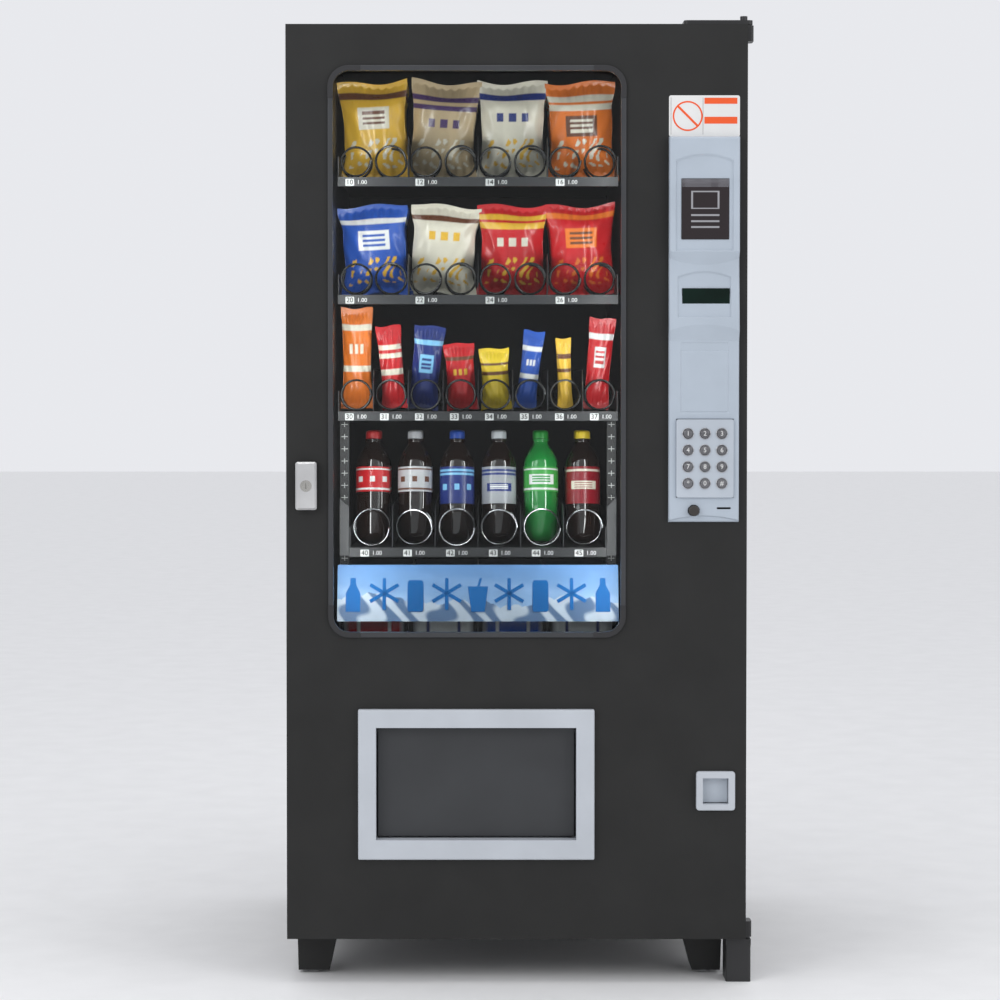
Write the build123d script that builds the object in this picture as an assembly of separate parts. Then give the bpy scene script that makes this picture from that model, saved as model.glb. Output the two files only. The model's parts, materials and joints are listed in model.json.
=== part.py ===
from build123d import *
import os

# Snack vending machine with spiral vend trays above a can compartment. Millimetres, +Z up.
# The origin is on the floor, under the middle of the machine. The front faces -Y, and the
# full-height door hangs on the right (+X) side.

# ---- overall size ----
LEFT = -444.5                 # left side of door and cabinet
RIGHT = 431.5                 # right side of door and cabinet
BACK = 457.0                  # outside of the back panel
TOP = 1829.0                  # top of the cabinet
CABINET_BOTTOM = 88.0
SHEET = 2.0                   # thickness of ordinary sheet steel

# ---- door ----
DOOR_FRONT = -432.0
DOOR_BACK = -357.0
DOOR_BOTTOM = 86.0
DOOR_TOP = 1827.0
SKIN = 2.5                    # thickness of the door skin
CABINET_FRONT = -352.0
PIVOT_X = 427.0               # hinge axis
PIVOT_Y = -394.5
PIN_R = 6.0
PIN_GAP = 0.06                # running clearance of a hinge pin, on the radius

# ---- window, low and high corner as (x, z) ----
WINDOW = ((-355.0, 673.0), (191.5, 1739.0))
TRIM_WIDTH = 9.8
TRIM_CORNER_R = 40.0
GLASS_BACK = -412.0
GLASS = 6.0

# ---- product compartment ----
BAY_LEFT = -362.0             # inner faces of the liner
BAY_RIGHT = 202.0
BAY_BACK = 333.0
BAY_TOP = 1790.0
DECK_TOP = 634.0
DECK = 24.0
TRAY_LEFT = -354.0
TRAY_WIDTH = 548.0
TRAY_FRONT = -275.0
TRAY_DEPTH = 525.0
TRAY_FLOORS = (1550.0, 1320.0, 1092.0, 825.0)
TRAY_COLUMNS = (4, 4, 8, 6)
COILS_PER_COLUMN = (2, 2, 1, 1)
COIL_R = (29.5, 29.5, 29.0, 35.0)     # to the middle of the wire
COIL_TURNS = (8, 8, 14, 7)
WIRE_R = (2.3, 2.3, 2.2, 1.8)
MOVING_COILS = {(0, 0): "coil_10_left", (0, 1): "coil_10_right", (2, 0): "coil_30", (3, 0): "coil_40"}
TRAY_RAIL = 40.0              # height of a tray's side walls
MOTOR_PANEL = 120.0           # height of the panel that carries the vend motors
PRICE_RAIL = 18.0
DIVIDER = 82.0
BOTTLE_TRAY_INSET = 22.0      # the bottle tray is this much narrower on each side

# ---- machinery ----
BAY_FLOOR = CABINET_BOTTOM + 3.0
FAN_CENTRE = (-190.0, -78.0, 270.0)   # x, front of the fan, z
FAN_R = 118.0

# ---- legs ----
LEG_DEPTHS = ((-338.0, -258.0), (366.0, 446.0))     # front and rear legs
LEFT_LEG = ((-431.0, -351.0), (-429.0, -368.5))     # top and bottom edges
RIGHT_LEG = ((314.0, 394.0), (336.0, 391.0))

# ---- front fittings, low and high corner as (x, z) ----
HOUSING = ((281.5, 883.5), (415.4, 1613.0))
HOUSING_FRONT = -453.0
KEYPAD_FRONT = HOUSING_FRONT + 3.5
INFO = ((304.7, 1419.0), (394.5, 1533.0))
LCD = ((307.0, 1297.5), (396.5, 1326.0))
KEYPAD = ((295.6, 930.0), (404.8, 1079.0))
KEY_FIRST = (318.0, 1051.6)   # centre of the top left key
KEY_PITCH = (32.0, 31.4)
KEY_R = 9.0
KEY_TRAVEL = 2.0
KEY_NAMES = ("1", "2", "3", "4", "5", "6", "7", "8", "9", "star", "0", "hash")
RETURN_KNOB = (329.4, 905.4)
RETURN_KNOB_R = 10.0
COIN_SLOT = ((372.5, 908.0), (400.0, 912.0))
BEZEL = ((-308.0, 240.0), (141.8, 526.6))
BEZEL_MOUTH = ((-274.0, 277.8), (107.3, 492.0))
FLAP = ((-271.6, 281.0), (104.6, 489.0))
FLAP_Y = -421.0               # front of the delivery flap
BIN = ((-290.0, 262.0), (123.0, 596.0))
BIN_BACK = -170.0
CUP = ((335.6, 333.6), (409.7, 408.0))
CUP_MOUTH = ((348.2, 345.8), (397.0, 395.4))
CUP_FLAP_Y = -424.0
HANDLE = (-405.5, 952.5)      # axis of the T-handle
HANDLE_SIZE = (40.0, 91.0)
HANDLE_FRONT = -457.0
HANDLE_BACK = -440.0          # clears the window trim when the bar is turned
CYLINDER_R = 11.0
STEM_R = 8.0


def block(low, high):
    """A box from its lowest corner to its highest."""
    size = [b - a for a, b in zip(low, high)]
    return Pos(*low) * Box(*size, align=(Align.MIN,) * 3)


def slab(rect, y0, y1):
    """A box over a rectangle of the front, ((x0, z0), (x1, z1)), between two depths."""
    (x0, z0), (x1, z1) = rect
    return block((x0, y0, z0), (x1, y1, z1))


def grown(rect, by):
    """The rectangle with each side moved out by a distance."""
    (x0, z0), (x1, z1) = rect
    return ((x0 - by, z0 - by), (x1 + by, z1 + by))


def rounded_slab(rect, y0, y1, radius):
    """A slab whose four corners, seen from the front, are round."""
    return fillet(slab(rect, y0, y1).edges().filter_by(Axis.Y), radius)


def rod_x(radius, x0, x1, y, z):
    """A round bar along X."""
    length = x1 - x0
    return Pos((x0 + x1) / 2, y, z) * Rot(0, 90, 0) * Cylinder(radius, length)


def rod_y(radius, y0, y1, x, z):
    """A round bar along Y."""
    length = y1 - y0
    return Pos(x, (y0 + y1) / 2, z) * Rot(90, 0, 0) * Cylinder(radius, length)


def rod_z(radius, z0, z1, x, y):
    """A round bar along Z."""
    return Pos(x, y, (z0 + z1) / 2) * Cylinder(radius, z1 - z0)


def write(name, *solids):
    """One STEP file for a node, from one solid or a group of separate solids."""
    flat = [s for shape in solids for s in shape.solids()]
    export_step(flat[0] if len(flat) == 1 else Compound(children=flat), f"parts/{name}.step")


# ---- cabinet ----

def cabinet_shell():
    """Two sides, a top and a bottom."""
    low, high = CABINET_FRONT, BACK - 3.0
    left = block((LEFT, low, CABINET_BOTTOM), (LEFT + SHEET, high, TOP))
    right = block((RIGHT - SHEET, low, CABINET_BOTTOM), (RIGHT, high, TOP))
    inner_left, inner_right = LEFT + SHEET, RIGHT - SHEET
    top = block((inner_left, low, TOP - SHEET), (inner_right, high, TOP))
    bottom = block((inner_left, low, CABINET_BOTTOM), (inner_right, high, CABINET_BOTTOM + 3.0))
    return [left, right, top, bottom]


def back_panel():
    """The rear sheet, with rows of air slots at the bottom and a recessed power inlet."""
    panel = block((LEFT, BACK - 3.0, CABINET_BOTTOM), (RIGHT, BACK, TOP))
    slots = [
        block((x, BACK - 4.0, z), (x + 90.0, BACK + 1.0, z + 8.0))
        for x in (-330.0, -210.0, -90.0, 30.0)
        for z in (130.0 + 24.0 * row for row in range(14))
    ]
    inlet = ((331.0, 139.0), (381.0, 171.0))
    panel = panel - slots - slab(inlet, BACK - 4.0, BACK + 1.0)
    socket = slab(inlet, BACK - 33.0, BACK) - slab(grown(inlet, -5.0), BACK - 18.0, BACK + 1.0)
    blades = [block((x, BACK - 18.0, z), (x + 3.0, BACK - 6.0, z + 6.0))
              for x, z in ((343.0, 150.0), (366.0, 150.0), (354.5, 158.0))]
    return [panel, socket, *blades]


def product_liner():
    """Thin inner walls of the refrigerated compartment."""
    front = CABINET_FRONT + 4.0
    z0, z1 = DECK_TOP - DECK, BAY_TOP
    left = block((BAY_LEFT - SHEET, front, z0), (BAY_LEFT, BAY_BACK, z1))
    right = block((BAY_RIGHT, front, z0), (BAY_RIGHT + SHEET, BAY_BACK, z1))
    ceiling = block((BAY_LEFT - SHEET, front, z1), (BAY_RIGHT + SHEET, BAY_BACK, z1 + SHEET))
    back = block((BAY_LEFT - SHEET, BAY_BACK, z0),
                 (BAY_RIGHT + SHEET, BAY_BACK + SHEET, z1 + SHEET))
    return [left, right, ceiling, back]


def product_deck():
    """The insulated floor between the product compartment and the machinery below."""
    return [block((BAY_LEFT, TRAY_FRONT, DECK_TOP - DECK), (BAY_RIGHT, BAY_BACK, DECK_TOP))]


def tapered_leg(x_top, x_bottom, y0, y1):
    """A sheet-metal leg: a tapered front plate with a narrow flange down each side."""
    z_top, z_bottom = CABINET_BOTTOM, 6.0
    outline = [(x_bottom[0], z_bottom), (x_bottom[1], z_bottom), (x_top[1], z_top), (x_top[0], z_top)]
    face = make_face(Polyline(*outline, close=True))
    plate = Pos(0, y0, 0) * extrude(Plane.XZ * face, amount=-SHEET)
    sides = []
    for foot, head in ((x_bottom[0], x_top[0]), (x_bottom[1] - SHEET, x_top[1] - SHEET)):
        strip = [(foot, z_bottom), (foot + SHEET, z_bottom), (head + SHEET, z_top), (head, z_top)]
        flange = extrude(Plane.XZ * make_face(Polyline(*strip, close=True)), amount=-(y1 - y0 - SHEET))
        sides.append(Pos(0, y0 + SHEET, 0) * flange)
    return [plate, *sides]


def legs():
    return [
        solid
        for y0, y1 in LEG_DEPTHS
        for top, bottom in (LEFT_LEG, RIGHT_LEG)
        for solid in tapered_leg(top, bottom, y0, y1)
    ]


def levelling_feet():
    """Four screwed feet, one inside each leg, which carry the machine."""
    feet = []
    for y0, y1 in LEG_DEPTHS:
        for _, (x0, x1) in (LEFT_LEG, RIGHT_LEG):
            x, y = (x0 + x1) / 2, (y0 + y1) / 2
            feet.append(rod_z(22.0, 0.0, 6.0, x, y) + rod_z(6.0, 6.0, CABINET_BOTTOM, x, y))
    return feet


def hinge_brackets():
    """Top plate with its pin, bottom plate with its pin and washer, and the foot below it."""
    plate = block((312.0, -411.0, TOP + 0.5), (443.0, -250.0, TOP + 8.0))
    plate = fillet(plate.edges().filter_by(Axis.Z), 8.0)
    head = rod_z(7.0, TOP + 8.0, TOP + 17.0, PIVOT_X, PIVOT_Y)
    top_pin = rod_z(PIN_R, DOOR_TOP - 26.0, TOP + 0.5, PIVOT_X, PIVOT_Y)
    shelf = block((395.0, -414.0, 70.0), (443.0, -345.0, 82.0))
    rear_tab = block((395.0, CABINET_FRONT + 1.0, 82.0), (443.0 - 14.0, -345.0, CABINET_BOTTOM))
    washer = rod_z(15.0, 82.0, DOOR_BOTTOM - 0.4, PIVOT_X, PIVOT_Y)
    low_pin = rod_z(PIN_R, DOOR_BOTTOM - 0.4, DOOR_BOTTOM + 26.0, PIVOT_X, PIVOT_Y)
    foot = fillet(block((395.0, -414.0, 0.0), (443.0, -345.0, 70.0)).edges().filter_by(Axis.Z), 5.0)
    lower = shelf + rear_tab + washer + low_pin + foot
    return [plate + head + top_pin, lower]


def lock_strike():
    """A plate on the cabinet's left front edge, with the hole that the lock's stem enters."""
    x, z = HANDLE
    plate = block((LEFT + SHEET, CABINET_FRONT, z - 60.0), (x + 26.0, CABINET_FRONT + 4.0, z + 60.0))
    return [plate - rod_y(STEM_R + 3.5, CABINET_FRONT - 1.0, CABINET_FRONT + 5.0, x, z)]


# ---- trays ----

def tray_span(row):
    """The left and right sides of a tray's floor."""
    inset = BOTTLE_TRAY_INSET if row == 3 else 0.0
    return TRAY_LEFT + inset, TRAY_LEFT + TRAY_WIDTH - inset


def tray(row):
    """Floor, two side walls and the motor panel of one tray, folded from one sheet."""
    x0, x1 = tray_span(row)
    y0, y1 = TRAY_FRONT, TRAY_FRONT + TRAY_DEPTH
    z = TRAY_FLOORS[row]
    floor = block((x0, y0, z - SHEET), (x1, y1, z))
    left = block((x0, y0, z), (x0 + SHEET, y1, z + TRAY_RAIL))
    right = block((x1 - SHEET, y0, z), (x1, y1, z + TRAY_RAIL))
    rear = block((x0, y1 - SHEET, z), (x1, y1, z + MOTOR_PANEL))
    return [floor + left + right + rear]


def column_edges(row):
    """The X of each line between two columns of a tray."""
    x0, x1 = tray_span(row)
    pitch = (x1 - x0) / TRAY_COLUMNS[row]
    return [x0 + pitch * n for n in range(1, TRAY_COLUMNS[row])]


def tray_dividers():
    """A thin upright sheet between every two columns, with a sloping front corner."""
    plates = []
    y0, y1 = TRAY_FRONT + 1.0, TRAY_FRONT + TRAY_DEPTH - SHEET - 1.0
    for row, z in enumerate(TRAY_FLOORS):
        for x in column_edges(row):
            side = [(y0, z), (y1, z), (y1, z + DIVIDER), (y0 + 22.0, z + DIVIDER),
                    (y0, z + DIVIDER - 22.0)]
            sheet = extrude(Plane.YZ * make_face(Polyline(*side, close=True)), amount=1.2)
            plates.append(Pos(x - 0.6, 0, 0) * sheet)
    return plates


def price_rails():
    """The strip along the front of each tray that holds its number and price tags."""
    rails = []
    for row, z in enumerate(TRAY_FLOORS):
        x0, x1 = tray_span(row)
        rails.append(block((x0, TRAY_FRONT - 5.0, z - PRICE_RAIL), (x1, TRAY_FRONT, z)))
    return rails


def coil_places():
    """For every coil: its tray row, place along the tray, centre X and Z, and turning hand."""
    places = []
    for row, z in enumerate(TRAY_FLOORS):
        x0, x1 = tray_span(row)
        count = TRAY_COLUMNS[row] * COILS_PER_COLUMN[row]
        pitch = (x1 - x0) / count
        for n in range(count):
            centre_z = z + COIL_R[row] + WIRE_R[row] + 1.2
            places.append((row, n, x0 + pitch * (n + 0.5), centre_z, n % 2 == 1))
    return places


def coil(row, x, z, left_hand):
    """A spiral of wire along Y, with the hub that its motor turns."""
    radius, wire = COIL_R[row], WIRE_R[row]
    length = TRAY_DEPTH - 32.0
    path = Helix(pitch=length / COIL_TURNS[row], height=length, radius=radius, lefthand=left_hand)
    section = Plane(origin=path @ 0, z_dir=path % 0) * Circle(wire)
    spiral = sweep(section, path=path, is_frenet=True)
    spoke = Pos(radius / 2 - wire / 2, 0, length + 2 * wire) * Rot(0, 90, 0) * Cylinder(wire, radius + wire)
    hub = Pos(0, 0, length + 2 * wire + 8.0) * Cylinder(9.0, 14.0)
    start_y = TRAY_FRONT + 4.0
    placed = Pos(x, start_y, z) * Rot(-90, 0, 0)
    return [placed * spiral, placed * (spoke + hub)]


def vend_motors():
    """A gear motor behind each tray's rear panel for every column."""
    y = TRAY_FRONT + TRAY_DEPTH
    motors = []
    for row, z in enumerate(TRAY_FLOORS):
        x0, x1 = tray_span(row)
        pitch = (x1 - x0) / TRAY_COLUMNS[row]
        width = min(pitch - 8.0, 70.0)
        for n in range(TRAY_COLUMNS[row]):
            x = x0 + pitch * (n + 0.5)
            motors.append(block((x - width / 2, y, z + 8.0), (x + width / 2, y + 42.0, z + 72.0)))
    return motors


def can_shelf():
    """The floor and lane walls of the four can columns behind the sign."""
    z0 = DECK_TOP + 4.0
    y0, y1 = TRAY_FRONT + 6.0, 240.0
    shelf = block((TRAY_LEFT, y0, z0), (TRAY_LEFT + TRAY_WIDTH, y1, z0 + SHEET))
    feet = [block((x, y0 + 40.0, DECK_TOP), (x + 20.0, y1 - 40.0, z0))
            for x in (TRAY_LEFT + 30.0, TRAY_LEFT + TRAY_WIDTH - 50.0)]
    walls = []
    for n in range(5):
        x = TRAY_LEFT + n * (TRAY_WIDTH - SHEET) / 4
        walls.append(block((x, y0, z0 + SHEET), (x + SHEET, y1, z0 + 130.0)))
    back = block((TRAY_LEFT, y1, z0), (TRAY_LEFT + TRAY_WIDTH, y1 + SHEET, z0 + 130.0))
    return [shelf, *feet, *walls, back]


def sign_panel():
    """The printed panel below the bottle tray. Its bottom edge leans forward."""
    profile = [(-322.0, 684.0), (-319.0, 684.0), (-287.0, 792.0), (-290.0, 792.0)]
    sheet = extrude(Plane.YZ * make_face(Polyline(*profile, close=True)), amount=TRAY_WIDTH)
    return [Pos(TRAY_LEFT, 0, 0) * sheet]


# ---- machinery ----

def compressor():
    """Welded can on a foot plate, with its suction and discharge stubs."""
    x, y = -230.0, 170.0
    foot = block((x - 95.0, y - 76.0, BAY_FLOOR), (x + 95.0, y + 76.0, BAY_FLOOR + 8.0))
    can = fillet(rod_z(72.0, BAY_FLOOR + 8.0, BAY_FLOOR + 190.0, x, y).edges(), 22.0)
    stubs = rod_z(5.0, BAY_FLOOR + 150.0, BAY_FLOOR + 250.0, x + 50.0, y)
    return [foot + can + stubs]


def condenser():
    """Tube-and-fin heat exchanger in front of its fan, drawn as end plates and a stack of fins."""
    x, _, z = FAN_CENTRE
    half, low, high = 150.0, BAY_FLOOR, z + 140.0
    core = block((x - half, -140.0, low + 10.0), (x + half, -96.0, high))
    ends = [block((x + s * half - (6.0 if s < 0 else 0.0), -144.0, low),
                  (x + s * half + (6.0 if s > 0 else 0.0), -92.0, high + 6.0)) for s in (-1, 1)]
    return [core, *ends]


def condenser_fan():
    """Five pitched blades on a hub, turning about Y."""
    x, y, z = FAN_CENTRE
    fan = rod_y(24.0, y, y + 30.0, x, z)
    for n in range(5):
        blade = Pos(0, 0, FAN_R / 2 + 8.0) * Rot(0, 0, 32) * Box(62.0, 2.5, FAN_R - 18.0)
        fan += Pos(x, y + 15.0, z) * Rot(0, 72 * n, 0) * blade
    return [fan]


def evaporator():
    """Cooling coil in the duct behind the product compartment."""
    return [block((-230.0, 350.0, 720.0), (90.0, 400.0, 920.0))]


def control_board():
    """Controller case on the right-hand wall."""
    case = block((401.0, -150.0, 1180.0), (RIGHT - SHEET, 130.0, 1500.0))
    return [fillet(case.edges().filter_by(Axis.X), 8.0)]


# ---- door ----

def pivot_blocks():
    """Two steel blocks in the door's corners, bored for the hinge pins."""
    blocks = []
    for z0, z1 in ((DOOR_BOTTOM, DOOR_BOTTOM + 30.0), (DOOR_TOP - 30.0, DOOR_TOP)):
        body = block((PIVOT_X - 18.0, PIVOT_Y - 17.5, z0), (PIVOT_X + 17.5, PIVOT_Y + 17.5, z1))
        body = fillet(body.edges().filter_by(Axis.Z), 5.0)
        blocks.append(body - rod_z(PIN_R + PIN_GAP, z0 - 1.0, z1 + 1.0, PIVOT_X, PIVOT_Y))
    return blocks


def door_skin():
    """The folded front sheet, with cut-outs for everything that is mounted in it."""
    outer = block((LEFT, DOOR_FRONT, DOOR_BOTTOM), (RIGHT, DOOR_BACK, DOOR_TOP))
    inner = block((LEFT + SKIN, DOOR_FRONT + SKIN, DOOR_BOTTOM + SKIN),
                  (RIGHT - SKIN, DOOR_BACK + 1.0, DOOR_TOP - SKIN))
    skin = outer - inner
    front, rear = DOOR_FRONT - 1.0, DOOR_FRONT + SKIN + 1.0
    skin -= rounded_slab(grown(WINDOW, 5.0), front, rear, TRIM_CORNER_R - 5.0)
    skin -= slab(grown(BEZEL_MOUTH, 3.4), front, rear)
    skin -= slab(grown(HOUSING, -8.0), front, rear)
    skin -= slab(grown(CUP_MOUTH, 3.0), front, rear)
    skin -= rod_y(16.0, front, rear, *HANDLE)
    for z0, z1 in ((DOOR_BOTTOM - 1.0, DOOR_BOTTOM + 30.0), (DOOR_TOP - 30.0, DOOR_TOP + 1.0)):
        skin -= block((PIVOT_X - 18.0, PIVOT_Y - 17.5, z0), (PIVOT_X + 18.0, PIVOT_Y + 17.5, z1))
    return [skin]


def door_liner():
    """The inner sheet of the door, open at the window and behind the delivery flap."""
    y0 = DOOR_BACK - 2.2
    sheet = block((LEFT + SKIN, y0, DOOR_BOTTOM + SKIN), (RIGHT - SKIN, DOOR_BACK - 0.2, DOOR_TOP - SKIN))
    sheet -= slab(grown(WINDOW, 8.0), y0 - 1.0, DOOR_BACK + 1.0)
    sheet -= slab(((BIN[0][0] + 3.0, BIN[0][1] + 3.0), (BIN[1][0] - 3.0, 503.0)), y0 - 1.0, DOOR_BACK + 1.0)
    sheet -= rod_y(12.0, y0 - 1.0, DOOR_BACK + 1.0, *HANDLE)
    return [sheet]


def window_glass():
    return [slab(grown(WINDOW, 14.0), GLASS_BACK - GLASS, GLASS_BACK)]


def window_trim():
    """A frame that laps over the cut edge of the door and holds the glass from the front."""
    lip = rounded_slab(grown(WINDOW, TRIM_WIDTH), DOOR_FRONT - 6.0, DOOR_FRONT, TRIM_CORNER_R)
    lip = fillet(lip.faces().sort_by(Axis.Y)[0].edges(), 2.0)
    leg = rounded_slab(grown(WINDOW, 4.6), DOOR_FRONT, GLASS_BACK - GLASS, TRIM_CORNER_R - 5.2)
    hole = rounded_slab(WINDOW, DOOR_FRONT - 7.0, GLASS_BACK, TRIM_CORNER_R - TRIM_WIDTH)
    return [lip + leg - hole]


def light_tube():
    """The lamp that lights the shelves, above the window inside the door."""
    z, y = WINDOW[1][1] + 34.0, -386.0
    tube = rod_x(9.0, WINDOW[0][0] + 30.0, WINDOW[1][0] - 30.0, y, z)
    holders = [block((x, y - 12.0, z - 14.0), (x + 14.0, y + 12.0, z + 14.0))
               for x in (WINDOW[0][0] + 16.0, WINDOW[1][0] - 30.0)]
    return [tube, *holders]


def control_housing():
    """Moulded cover of the selection and payment controls, stepped in three stages."""
    (x0, z0), (x1, z1) = HOUSING
    f = HOUSING_FRONT
    side = [(DOOR_FRONT, z0), (f + 10.0, z0), (f + 6.0, z0 + 10.0), (f + 6.0, 1227.0), (f, 1254.0),
            (f + 6.0, 1372.0), (f, 1396.0), (f, z1 - 12.0), (f + 6.0, z1), (DOOR_FRONT, z1)]
    body = Pos(x0, 0, 0) * extrude(Plane.YZ * make_face(Polyline(*side, close=True)), amount=x1 - x0)
    body -= slab(grown(HOUSING, -4.0), DOOR_FRONT - 11.0, DOOR_FRONT + 1.0)
    body -= slab(INFO, f - 1.0, f + 4.0)
    body -= slab(LCD, f - 1.0, f + 8.0)
    body -= slab(KEYPAD, f - 1.0, DOOR_FRONT + 1.0)
    body -= rod_y(RETURN_KNOB_R + 1.5, f - 1.0, DOOR_FRONT + 1.0, *RETURN_KNOB)
    body -= slab(COIN_SLOT, f - 1.0, DOOR_FRONT + 1.0)
    return [body]


def info_display():
    """The card window in the top stage of the housing."""
    return [slab(INFO, HOUSING_FRONT + 2.5, HOUSING_FRONT + 4.0)]


def lcd_display():
    return [slab(LCD, HOUSING_FRONT + 6.0, HOUSING_FRONT + 8.0)]


def key_centres():
    """Name and front-view centre of every key, in reading order."""
    (x, z), (dx, dz) = KEY_FIRST, KEY_PITCH
    return [(name, x + dx * (n % 3), z - dz * (n // 3)) for n, name in enumerate(KEY_NAMES)]


def keypad_plate():
    """The metal plate that the keys stand through."""
    plate = rounded_slab(grown(KEYPAD, -0.3), KEYPAD_FRONT, KEYPAD_FRONT + 8.0, 4.0)
    for _, x, z in key_centres():
        plate -= rod_y(KEY_R + 0.6, KEYPAD_FRONT - 1.0, KEYPAD_FRONT + 9.0, x, z)
    return [plate]


def key(x, z):
    """A round metal key with a softened rim and a stem behind it."""
    cap = rod_y(KEY_R, KEYPAD_FRONT - 3.0, KEYPAD_FRONT + 6.0, x, z)
    cap = fillet(cap.faces().sort_by(Axis.Y)[0].edges(), 2.2)
    return [cap + rod_y(4.0, KEYPAD_FRONT + 6.0, KEYPAD_FRONT + 14.0, x, z)]


def coin_return_button():
    knob = rod_y(RETURN_KNOB_R, HOUSING_FRONT - 2.0, DOOR_FRONT + 4.0, *RETURN_KNOB)
    return [fillet(knob.faces().sort_by(Axis.Y)[0].edges(), 2.0)]


def coin_mechanism():
    """Coin changer behind the housing, with its coin tube tower."""
    case = block((303.0, -340.0, 980.0), (398.0, -245.0, 1380.0))
    bracket = block((296.0, DOOR_BACK - 0.2, 1000.0), (404.0, -340.0, 1360.0))
    chute = block((330.0, DOOR_BACK - 0.2, 440.0), (404.0, -300.0, 980.0))
    return [bracket + case, chute]


# ---- delivery ----

def delivery_bezel():
    """The picture-frame moulding of the delivery opening, and the throat behind it."""
    frame = slab(BEZEL, DOOR_FRONT - 14.0, DOOR_FRONT)
    frame = fillet(frame.edges().filter_by(Axis.Y), 3.0)
    frame = fillet(frame.faces().sort_by(Axis.Y)[0].edges(), 3.0)
    throat = slab(grown(BEZEL_MOUTH, 3.0), DOOR_FRONT, DOOR_FRONT + 34.0)
    body = frame + throat - slab(BEZEL_MOUTH, DOOR_FRONT - 15.0, DOOR_FRONT + 35.0)
    (x0, _), (x1, z1) = FLAP
    body -= rod_x(PIN_R / 2 + PIN_GAP, x0 - 8.0, x1 + 8.0, FLAP_Y + 3.0, z1 - 5.0)
    return [body]


def delivery_flap():
    """The push flap, hung from two pins at its top corners."""
    (x0, _), (x1, z1) = FLAP
    plate = slab(FLAP, FLAP_Y, FLAP_Y + 6.0)
    plate = fillet(plate.faces().sort_by(Axis.Y)[0].edges(), 2.0)
    pins = rod_x(PIN_R / 2, x0 - 5.0, x1 + 5.0, FLAP_Y + 3.0, z1 - 5.0)
    return [plate + pins]


def delivery_bin():
    """The open-topped box on the door that catches what the coils let fall."""
    (x0, z0), (x1, z1) = BIN
    front = DOOR_BACK - 0.2
    floor = block((x0, front, z0), (x1, BIN_BACK, z0 + 3.0))
    left = block((x0, front, z0 + 3.0), (x0 + 3.0, BIN_BACK, z1))
    right = block((x1 - 3.0, front, z0 + 3.0), (x1, BIN_BACK, z1))
    back = block((x0 + 3.0, BIN_BACK - 3.0, z0 + 3.0), (x1 - 3.0, BIN_BACK, z1))
    return [floor + left + right + back]


def coin_cup():
    """The coin return cup: a square frame with a short chute behind it."""
    frame = slab(CUP, DOOR_FRONT - 10.0, DOOR_FRONT)
    frame = fillet(frame.edges().filter_by(Axis.Y), 6.0)
    frame = fillet(frame.faces().sort_by(Axis.Y)[0].edges(), 2.5)
    cup = slab(grown(CUP_MOUTH, 2.6), DOOR_FRONT, -372.0)
    body = frame + cup - slab(CUP_MOUTH, DOOR_FRONT - 11.0, -375.0)
    (x0, _), (x1, z1) = CUP_MOUTH
    body -= rod_x(1.5 + PIN_GAP, x0 - 2.0, x1 + 2.0, CUP_FLAP_Y + 1.5, z1 - 3.5)
    return [body]


def coin_flap():
    (x0, z0), (x1, z1) = CUP_MOUTH
    plate = slab(((x0 + 0.8, z0 + 1.5), (x1 - 0.8, z1 - 1.2)), CUP_FLAP_Y, CUP_FLAP_Y + 3.0)
    pins = rod_x(1.5, x0 - 1.5, x1 + 1.5, CUP_FLAP_Y + 1.5, z1 - 3.5)
    return [plate + pins]


# ---- lock ----

def handle_housing():
    """The plate and guide tube of the lock, fixed in the door."""
    x, z = HANDLE
    plate = slab(((x - 18.0, z - 30.0), (x + 18.0, z + 30.0)), DOOR_FRONT - 3.0, DOOR_FRONT)
    plate = fillet(plate.edges().filter_by(Axis.Y), 6.0)
    tube = rod_y(15.0, DOOR_FRONT, DOOR_BACK - 8.0, x, z)
    return [plate + tube - rod_y(12.0, DOOR_FRONT - 5.0, DOOR_BACK, x, z)]


def handle_sleeve():
    """The sleeve that pops out with the handle and doesn't turn."""
    x, z = HANDLE
    sleeve = rod_y(11.5, DOOR_FRONT - 4.0, DOOR_BACK - 10.0, x, z)
    return [sleeve - rod_y(STEM_R + PIN_GAP, DOOR_FRONT - 5.0, DOOR_BACK, x, z)]


def t_handle():
    """The cast bar with its key-cylinder bore, and the stem that screws into the strike."""
    x, z = HANDLE
    half_width, half_height = HANDLE_SIZE[0] / 2, HANDLE_SIZE[1] / 2
    bar = slab(((x - half_width, z - half_height), (x + half_width, z + half_height)), HANDLE_FRONT, HANDLE_BACK)
    bar = fillet(bar.edges().filter_by(Axis.Y), 4.5)
    bar = chamfer(bar.faces().sort_by(Axis.Y)[0].edges(), 3.5)
    stem = rod_y(STEM_R, HANDLE_BACK, CABINET_FRONT + 14.0, x, z)
    return [bar + stem - rod_y(CYLINDER_R + PIN_GAP, HANDLE_FRONT - 1.0, HANDLE_BACK - 4.0, x, z)]


def lock_cylinder():
    """The key cylinder in the middle of the bar, with its key slot."""
    x, z = HANDLE
    plug = rod_y(CYLINDER_R, HANDLE_FRONT + 0.5, HANDLE_BACK - 4.2, x, z)
    return [plug - block((x - 1.2, HANDLE_FRONT - 1.0, z - 5.0), (x + 1.2, HANDLE_BACK - 8.0, z + 5.0))]


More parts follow.
